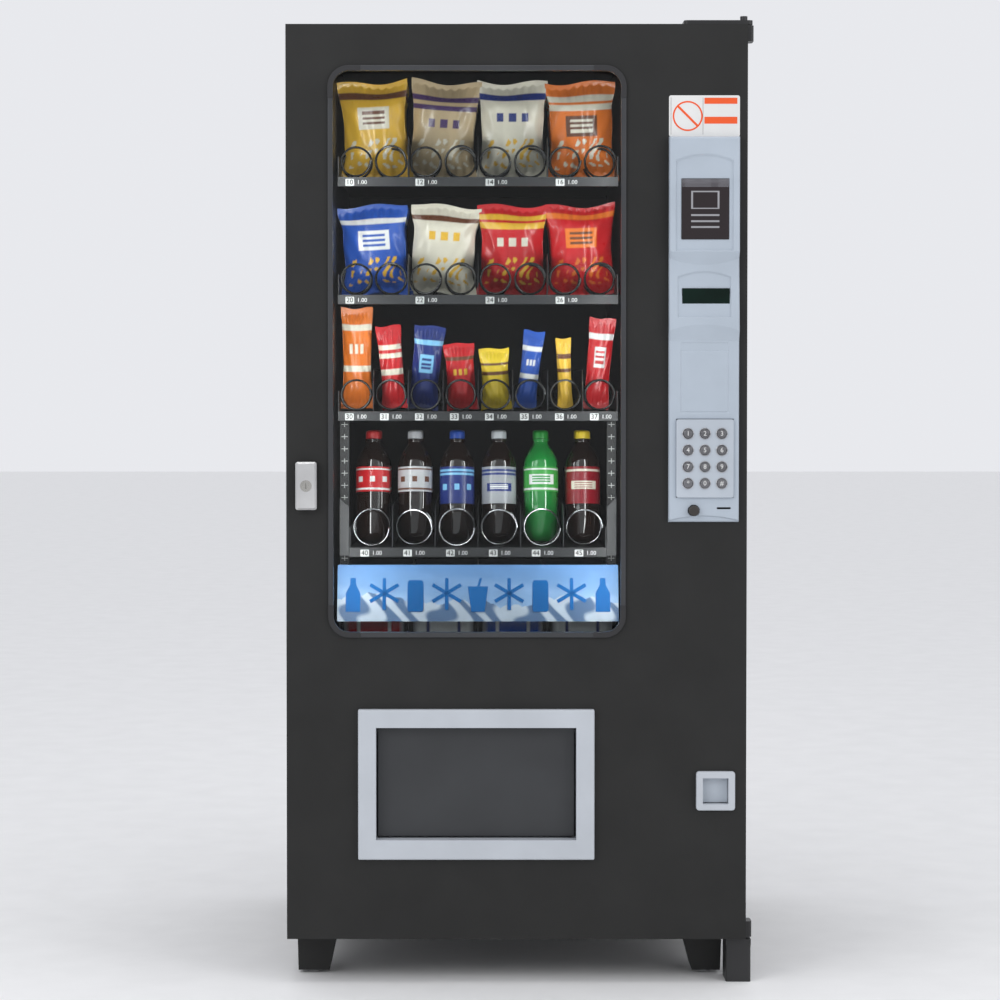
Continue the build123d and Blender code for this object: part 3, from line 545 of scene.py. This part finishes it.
CAN = [(0.0, 0.004), (0.022, 0.004), (0.026, 0.0), (0.0285, 0.003), (0.033, 0.012), (0.033, 0.05), (0.033, 0.108),
       (0.0285, 0.117), (0.027, 0.119), (0.0262, 0.116), (0.0, 0.115)]
CAN_PAINTS = ((0.5, 0.02, 0.02), PALE, BLUE_P, PALE)
low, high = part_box("can_shelf")
lane = (high[0] - low[0] - 0.002) / 4
for n in range(4):
    for depth_place in range(3):
        matrix = Matrix.Translation((low[0] + lane * n + (lane - 0.119) / 2 + 0.001, low[1] + 0.036 + 0.0675 * depth_place,
                                     low[2] + 0.0395)) @ Matrix.Rotation(radians(90), 4, "Y")

        def can_paint(height, angle, base=CAN_PAINTS[n]):
            if not 0.01 < height < 0.11:
                return (0.6, 0.6, 0.62)
            accent = NAVY if base == PALE else PALE
            return accent if min(abs(height - 0.03), abs(height - 0.09)) < 0.004 else base

        profile = CAN[:5] + [(0.033, 0.012 + 0.096 * k / 30) for k in range(1, 31)] + CAN[7:]
        points, faces, colours = lathe(profile, 64, can_paint)
        add(f"can_{n}_{depth_place}", placed(points, matrix), faces, [PRINT], "cabinet", colours=colours)


# ---- price tags ----

def tags():
    """Selection numbers and prices on every rail."""
    for number, columns, label_step in ((1, 4, 2), (2, 4, 2), (3, 8, 1), (4, 6, 1)):
        x0, x1, front_y, floor = tray_facts(number)
        pitch = (x1 - x0) / columns
        y, z = front_y - 0.0052, floor - 0.0105
        for n in range(columns):
            x = x0 + pitch * (n + 0.5) - (0.045 if columns == 4 else 0.012)
            outline = round_rect(x - 0.0085, z - 0.0068, x + 0.0085, z + 0.0068, 0.0015)
            extruded(f"tag_{number}{n}", outline, y - 0.0006, y + 0.0004, WHITE, "cabinet")
            numerals(f"tag_number_{number}{n}", str(number * 10 + n * label_step), 0.0135, x, y - 0.0012, z,
                     INK, "cabinet", 0.0005)
            numerals(f"tag_price_{number}{n}", "1.00", 0.0115, x + 0.024, y - 0.0005, z, WHITE, "cabinet", 0.0002)


tags()


def uprights():
    """Posts that carry the trays, with pale crosses on them as painted light seen through their slots, and the angled
    guards beside the narrow bottle tray.
    """
    post_x = (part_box("tray_4")[0][0] - 0.011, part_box("tray_4")[1][0] + 0.011)
    y, low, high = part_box("tray_4")[0][1] + 0.03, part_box("product_deck")[1][2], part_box("tray_3")[0][2]
    for side, x in zip((1, -1), post_x):
        outline = round_rect(x - 0.009, low, x + 0.009, high, 0.001, 2)
        extruded(f"tray_post_{side + 1}", outline, y, y + 0.002, INNER, "cabinet")
        # Pale flat crosses in front of each post: painted light seen through the post's slots, which are not cut.
        vertices, faces = [], []
        for n in range(int((high - low) / 0.024) - 1):
            z = low + 0.024 * (n + 1)
            for half_x, half_z in ((0.0065, 0.0007), (0.0007, 0.005)):
                start = len(vertices)
                vertices += [(x - half_x, y - 0.0003, z - half_z), (x + half_x, y - 0.0003, z - half_z),
                             (x + half_x, y - 0.0003, z + half_z), (x - half_x, y - 0.0003, z + half_z)]
                faces.append(tuple(range(start, start + 4)))
        add(f"post_slot_light_{side + 1}", vertices, faces, [PALE_PLASTIC_AND_SLOT_LIGHT], "cabinet", smooth=False)
        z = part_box("tray_4")[0][2]
        edge = x + side * 0.0105
        shape = [(edge, z - 0.014), (edge, z + 0.082), (edge - side * 0.019, z + 0.1), (edge - side * 0.019, z - 0.014)]
        extruded(f"tray_guard_{side + 1}", shape, y - 0.032, y - 0.03, RAIL, "cabinet", 0.0006)


uprights()


# ---- sign ----

def sign():
    """A printed panel of sky and snowy peaks, with raised drink symbols in place of lettering."""
    low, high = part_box("sign_panel")
    width, height = high[0] - low[0], high[2] - low[2]

    def point(u, v):
        y = low[1] + (high[1] - low[1] - 0.003) * v - 0.0012
        return (low[0] + width * u, y, low[2] + height * v)

    def colour(u, v):
        ridge = 0.3 + 0.12 * sin(u * 13) * sin(u * 5 + 1) + 0.07 * abs(sin(u * 31 + 1)) + 0.03 * abs(sin(u * 83 + 2))
        if v > ridge:
            mix = smooth_step(0.2, 1.0, v)
            cloud = 0.09 * max(0, sin(u * 9 + v * 14)) * (1 - v)
            return (0.26 - 0.12 * mix + cloud, 0.42 - 0.13 * mix + cloud, 0.66 - 0.1 * mix + cloud)
        slope = sin(u * 62 + 5 * v + 2 * sin(u * 23 + v * 8))
        shade = smooth_step(-0.4, 0.5, slope + 1.5 * (v - ridge) + 0.4)
        return tuple(a + (b - a) * shade for a, b in zip((0.1, 0.17, 0.3), (0.5, 0.58, 0.68)))

    columns, rows = 360, 72
    points, faces = sheet_grid(columns, rows, point)
    colours = [colour((i % (columns + 1)) / columns, (i // (columns + 1)) / rows) for i in range(len(points))]
    add("sign_print", points, faces, [CARD], "cabinet", colours=colours)
    icons = {
        "bottle": [(-0.2, 0), (0.2, 0), (0.2, 0.5), (0.08, 0.72), (0.08, 0.95), (-0.08, 0.95), (-0.08, 0.72), (-0.2, 0.5)],
        "can": [(-0.22, 0.06), (-0.18, 0), (0.18, 0), (0.22, 0.06), (0.22, 0.78), (0.17, 0.85), (-0.17, 0.85), (-0.22, 0.78)],
        "cup": [(-0.18, 0), (0.18, 0), (0.28, 0.68), (0.05, 0.68), (0.14, 0.98), (0.07, 1.0), (-0.02, 0.68), (-0.28, 0.68)],
    }
    tall = height * 0.66
    tilt = (high[1] - low[1]) / height
    for n, kind in enumerate(("bottle", "flake", "can", "flake", "cup", "flake", "can", "flake", "bottle")):
        cx, cz = low[0] + width * (n + 0.5) / 9, low[2] + height * 0.17
        if kind == "flake":
            arms = []
            for k in range(3):
                a = radians(60 * k + 30)
                dx, dz = cos(a) * tall * 0.45, sin(a) * tall * 0.45
                nx, nz = -sin(a) * 0.0035, cos(a) * 0.0035
                arms.append([(cx - dx - nx, cz + tall / 2 - dz - nz), (cx + dx - nx, cz + tall / 2 + dz - nz),
                             (cx + dx + nx, cz + tall / 2 + dz + nz), (cx - dx + nx, cz + tall / 2 - dz + nz)])
        else:
            arms = [[(cx + px * tall, cz + pz * tall) for px, pz in icons[kind]]]
        for k, outline in enumerate(arms):
            piece = extruded(f"sign_{kind}_{n}_{k}", outline, 0.0, 0.0015, BLUE, "cabinet", 0.0004)
            for vertex in piece.data.vertices:
                vertex.co.y += low[1] + (vertex.co.z - low[2]) * tilt - 0.0035


sign()


# ---- window trim corners ----

def trim_corners():
    low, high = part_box("window_trim")
    reach, width, radius, lift = 0.062, 0.0105, 0.041, low[1] - 0.0012
    for sx, sz in ((-1, -1), (-1, 1), (1, -1), (1, 1)):
        cx = (high[0] if sx > 0 else low[0]) - sx * radius
        cz = (high[2] if sz > 0 else low[2]) - sz * radius
        arc = [radians(90 * k / 14) for k in range(15)]
        outer = [(0.0 - (reach - radius), radius)] + [(radius * sin(a), radius * cos(a)) for a in arc]
        outer += [(radius, -(reach - radius))]
        r = radius - width
        inner = [(r, -(reach - radius))] + [(r * sin(a), r * cos(a)) for a in reversed(arc)]
        inner += [(-(reach - radius), r)]
        outline = [(cx + sx * px, cz + sz * pz) for px, pz in outer + inner]
        extruded(f"trim_corner_{sx + 1}{sz + 1}", outline, lift, lift + 0.003, CORNER, "door", 0.0008)


trim_corners()


# ---- control housing details ----

def housing():
    """The moulded cover as one height map: three stages, crescent steps, arched recesses and a blank panel."""
    low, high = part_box("control_housing")
    info_low, info_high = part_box("info_display")
    lcd_low, lcd_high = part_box("lcd_display")
    pad_low, pad_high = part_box("keypad_plate")
    knob_low, knob_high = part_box("coin_return_button")
    middle = (low[0] + high[0]) / 2
    half = (high[0] - low[0]) / 2
    front = low[1]

    def depth(x, z):
        a = (x - middle) / half
        band = info_low[2] - 0.023
        lip = band - 0.012 - 0.013 * (1 - a * a)
        arch = lcd_low[2] - 0.0515 + 0.012 * (1 - a * a)
        ledge = lcd_low[2] - 0.0705
        drop = 0.0085
        if z > band:
            back = 0.0
        elif z > lip:
            back = drop * (band - z) / (band - lip)
        elif z > arch:
            back = drop * smooth_step(arch, lip, z)
        else:
            back = drop * min(1.0, (arch - z) / (arch - ledge))
        top_arch = info_high[2] + 0.036 + 0.012 * (1 - a * a * 1.5)
        if abs(a) < 0.82 and info_low[2] - 0.022 < z < top_arch:
            back += 0.0032 * smooth_step(0.0, 0.03, 0.82 - abs(a)) * smooth_step(0.0, 0.006, top_arch - z)
        low_arch = lcd_high[2] + 0.022 + 0.012 * (1 - a * a * 1.5)
        if abs(a) < 0.76 and lcd_low[2] - 0.026 < z < low_arch:
            back += 0.0028 * smooth_step(0.0, 0.03, 0.76 - abs(a)) * smooth_step(0.0, 0.005, low_arch - z)
        panel = (pad_high[2] + 0.0135, lcd_low[2] - 0.0895)
        inside = min(x - info_low[0], info_high[0] - x, z - panel[0], panel[1] - z)
        back += 0.0012 * exp(-(inside / 0.0009) ** 2) if abs(inside) < 0.004 else 0.0
        strip = min(x - info_low[0], info_high[0] - x, z - panel[1], panel[1] + 0.0165 - z)
        back += 0.001 * smooth_step(0.0, 0.001, strip)
        edge = min(x - low[0], high[0] - x, z - low[2], high[2] - z)
        round_edge = 0.005
        if edge < round_edge:
            back += round_edge - (round_edge ** 2 - (round_edge - edge) ** 2) ** 0.5
        foot = low[2] + 0.004 + 0.009 * (1 - a * a)
        back += 0.004 * smooth_step(foot, foot - 0.003, z)
        return front + back

    columns, rows = 150, 800
    step = columns + 1
    points, faces = sheet_grid(columns, rows, lambda u, v: (0, 0, 0))
    points = []
    for j in range(rows + 1):
        for i in range(step):
            x = low[0] + (high[0] - low[0]) * i / columns
            z = low[2] + (high[2] - low[2]) * j / rows
            points.append((x, depth(x, z), z))

    def cut(face):
        x = sum(points[i][0] for i in face) / 4
        z = sum(points[i][2] for i in face) / 4
        boxes = ((info_low, info_high), (lcd_low, lcd_high), (pad_low, pad_high))
        in_box = any(a[0] - 0.0004 < x < b[0] + 0.0004 and a[2] - 0.0004 < z < b[2] + 0.0004 for a, b in boxes)
        knob = hypot(x - (knob_low[0] + knob_high[0]) / 2, z - (knob_low[2] + knob_high[2]) / 2)
        slot = info_high[0] - 0.0215 < x < info_high[0] + 0.005 and 0 < z - (knob_low[2] + knob_high[2]) / 2 - 0.003 < 0.0035
        return in_box or knob < 0.0112 or slot

    kept = [face for face in faces if not cut(face)]
    rim = [j * step for j in range(rows + 1)] + [rows * step + i for i in range(1, step)]
    rim += [j * step + columns for j in range(rows - 1, -1, -1)] + [i for i in range(columns - 1, 0, -1)]
    start = len(points)
    points += [(points[i][0], high[1], points[i][2]) for i in rim]
    n = len(rim)
    kept += [(rim[k], rim[(k + 1) % n], start + (k + 1) % n, start + k) for k in range(n)]
    piece = add("control_housing_shell", points, kept, [HOUSING], "door")
    thick = piece.modifiers.new("wall", "SOLIDIFY")
    thick.thickness, thick.offset = 0.0022, -1.0
    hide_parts("control_housing")


housing()


def info_card():
    """The card behind the small window: a mesh pattern, a plain frame and even grey lines, with no words."""
    low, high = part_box("info_display")
    columns, rows = 180, 228

    def colour(u, v):
        a, b = 2 * u - 1, 2 * v - 1
        if v > 0.86 and sin(u * 190) * sin(v * 240) > 0.1:
            return (0.3, 0.3, 0.33)
        frame = max(abs(a) / 0.6, abs(b - 0.3) / 0.3)
        if 0.86 < frame < 1.0:
            return (0.32, 0.32, 0.34)
        if min(abs(b + line) for line in (0.2, 0.4, 0.6)) < 0.03 and abs(a) < 0.6:
            return (0.32, 0.32, 0.34)
        return (0.028, 0.022, 0.024)

    y = low[1] - 0.0005
    points, faces = sheet_grid(columns, rows, lambda u, v: (low[0] + (high[0] - low[0]) * u, y, low[2] + (high[2] - low[2]) * v))
    colours = [colour((i % (columns + 1)) / columns, (i // (columns + 1)) / rows) for i in range(len(points))]
    add("info_card", points, faces, [CARD], "door", colours=colours)


info_card()


def label_plate():
    """A plain plate above the housing: a ring and two bars, with no words."""
    low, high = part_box("control_housing")
    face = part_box("door_skin")[0][1]
    z0, z1 = high[2] + 0.001, high[2] + 0.079
    outline = round_rect(low[0] + 0.0005, z0, high[0] + 0.001, z1, 0.004)
    extruded("label_plate", outline, face - 0.0012, face, WHITE, "door", 0.0003)
    y = face - 0.0014
    x = low[0] + 0.036
    zc = (z0 + z1) / 2
    ring = [(x + r * cos(a), zc + r * sin(a)) for r, span in ((0.0285, range(49)), (0.0255, range(48, -1, -1)))
            for a in [2 * pi * k / 48 for k in span]]
    extruded("label_ring", ring, y, y + 0.0004, ORANGE, "door")
    bar = [(x - 0.0205, zc + 0.0175), (x - 0.0175, zc + 0.0205), (x + 0.0205, zc - 0.0175), (x + 0.0175, zc - 0.0205)]
    extruded("label_stroke", bar, y - 0.0001, y + 0.0003, ORANGE, "door")
    for k, (a, b) in enumerate(((0.062, 0.0735), (0.0245, 0.0375))):
        block = round_rect(low[0] + 0.0675, z0 + a, high[0] - 0.004, z0 + b, 0.0005, 2)
        extruded(f"label_bar_{k}", block, y, y + 0.0004, ORANGE, "door")
    for k, inset in enumerate((0.004, 0.0646)):
        line = round_rect(low[0] + inset, z0 + 0.004, low[0] + inset + 0.0006, z1 - 0.004, 0.0002, 2)
        extruded(f"label_line_{k}", line, y, y + 0.0004, LINE_GREY, "door")


label_plate()


def key_faces():
    """A ring and a raised figure on every key."""
    figures = {"star": "*", "hash": "#"}
    for name, node in NODES.items():
        if not name.startswith("key_"):
            continue
        low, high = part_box(name)
        x, z, y = (low[0] + high[0]) / 2, (low[2] + high[2]) / 2, low[1]
        figure = figures.get(name[4:], name[4:])
        body = name + "_body"
        numerals(f"figure_{name[4:]}", figure, 0.0125, x, y - 0.0002, z, WHITE, body, 0.0003)
        ring, segments = [], 40
        for r, dy in ((0.0112, 0.0), (0.0112, -0.0018), (0.0104, -0.0024), (0.0099, -0.0014), (0.0099, 0.0)):
            ring.append((r, dy))
        points, faces, _ = lathe(ring, segments)
        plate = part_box("keypad_plate")[0][1]
        turned = [(x + px, plate + h, z + py) for px, py, h in points]
        add(f"key_ring_{name[4:]}", turned, faces, [CHROME], "door")


key_faces()


# ---- stage, light and camera ----

def area(name, location, target, size, power, size_y=None, colour=(1, 1, 1)):
    light = bpy.data.lights.new(name, "AREA")
    light.energy, light.size, light.color = power, size, colour
    if size_y:
        light.shape, light.size_y = "RECTANGLE", size_y
    lamp = bpy.data.objects.new(name, light)
    bpy.context.scene.collection.objects.link(lamp)
    lamp.location = location
    lamp.rotation_euler = (Vector(target) - Vector(location)).to_track_quat("-Z", "Y").to_euler()


def stage():
    mesh = bpy.data.meshes.new("floor")
    mesh.from_pydata([(-30, -30, 0), (30, -30, 0), (30, 30, 0), (-30, 30, 0)], [], [(0, 1, 2, 3)])
    floor = bpy.data.objects.new("floor", mesh)
    mesh.materials.append(material("pale_floor", (0.86, 0.86, 0.86), 0.7, 0.0, 40, 0.02, 0.02))
    bpy.context.scene.collection.objects.link(floor)
    world = bpy.data.worlds.new("world")
    world.use_nodes = True
    world.node_tree.nodes["Background"].inputs["Color"].default_value = (0.95, 0.96, 1.0, 1)
    world.node_tree.nodes["Background"].inputs["Strength"].default_value = 0.85
    bpy.context.scene.world = world
    area("key_left", (-2.6, -3.4, 2.6), (0, -0.4, 1.0), 2.0, 38)
    area("fill_right", (3.0, -3.0, 2.2), (0, -0.4, 1.0), 2.2, 30)
    area("top", (0, -0.8, 4.2), (0, -0.2, 1.0), 2.0, 25)
    tray_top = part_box("window_trim")
    middle = (tray_top[0][2] + tray_top[1][2]) / 2
    for side, x in ((1, tray_top[0][0] + 0.02), (-1, tray_top[1][0] - 0.02)):
        area(f"shelf_light_{side}", (x, -0.395, middle), (x + side * 0.25, -0.2, middle), 0.03, 1.5, 1.0)


def camera():
    """Long lens at chest height, nearly level, a little left of the machine's middle."""
    lens = bpy.data.cameras.new("camera")
    view = bpy.data.objects.new("camera", lens)
    bpy.context.scene.collection.objects.link(view)
    distance, width = 5.0, 1.9
    door_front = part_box("door_skin")[0][1]
    pitch = radians(1.46)
    view.location = (-0.076, door_front - distance, 1.14)
    view.rotation_euler = (radians(90) - pitch, 0, 0)
    lens.lens = lens.sensor_width * distance / width
    lens.shift_x, lens.shift_y = 0.02, -0.046
    bpy.context.scene.camera = view


stage()
camera()
bpy.context.scene.view_settings.view_transform = "Standard"
